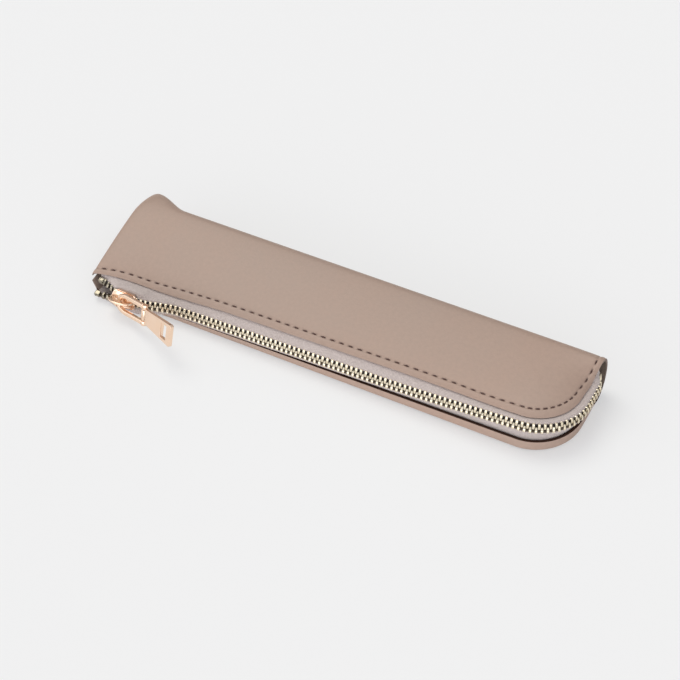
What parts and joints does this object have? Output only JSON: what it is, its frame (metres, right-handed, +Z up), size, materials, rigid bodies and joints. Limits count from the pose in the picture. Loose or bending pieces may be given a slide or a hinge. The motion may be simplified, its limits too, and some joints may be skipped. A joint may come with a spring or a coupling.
{
  "type": "zipped pen case",
  "caption": "Slim leather pen case folded along its back, zipped along the front and round one end, with a looped metal pull.",
  "frame": {"origin": "on the underside of the bottom panel, midway between the two ends and under the middle of the width", "axes": "+X along the case towards its rounded, zipped end; +Y from the zip at the front to the fold at the back; +Z up"},
  "size_m": [0.2095, 0.0729, 0.021],
  "materials": {
    "taupe leather": "smooth fine grain, satin",
    "lining cloth": "plain woven, matte",
    "zip tape": "woven tape, matte",
    "thread": "waxed thread, low sheen",
    "tooth metal": "pale gold plate, bright",
    "pull metal": "rose gold plate, polished"
  },
  "bodies": {
    "case": {"leather_shell": "taupe leather", "lining": "lining cloth", "upper_tape": "zip tape", "lower_tape": "zip tape", "upper_teeth": "tooth metal", "lower_teeth": "tooth metal", "upper_top_stop": "tooth metal", "lower_top_stop": "tooth metal", "bottom_stop": "tooth metal", "upper_seam_thread": "thread", "lower_seam_thread": "thread", "end_seam_thread": "thread"},
    "slider": {"slider_body": "pull metal", "slider_crown": "pull metal"},
    "link": {"pull_link": "pull metal", "link_pin": "pull metal"},
    "tab": {"pull_tab": "pull metal"}
  },
  "joints": [
    {"name": "zip_slide", "type": "slide", "parent": "case", "child": "slider", "axis": [0.9992, 0.0182, 0.0366], "range_m": [0, 0.1646], "deforming": ["upper_teeth", "lower_teeth", "upper_tape", "lower_tape"]},
    {"name": "link_hinge", "type": "hinge", "parent": "slider", "child": "link", "pos_m": [-0.08659, -0.02893, 0.00707], "axis": [0.0408, -0.3743, -0.9264], "range_deg": [-15, 125]},
    {"name": "tab_hinge", "type": "hinge", "parent": "link", "child": "tab", "pos_m": [-0.07183, -0.03338, 0.00951], "axis": [0.0408, -0.3743, -0.9264], "range_deg": [-21, 54]}
  ]
}
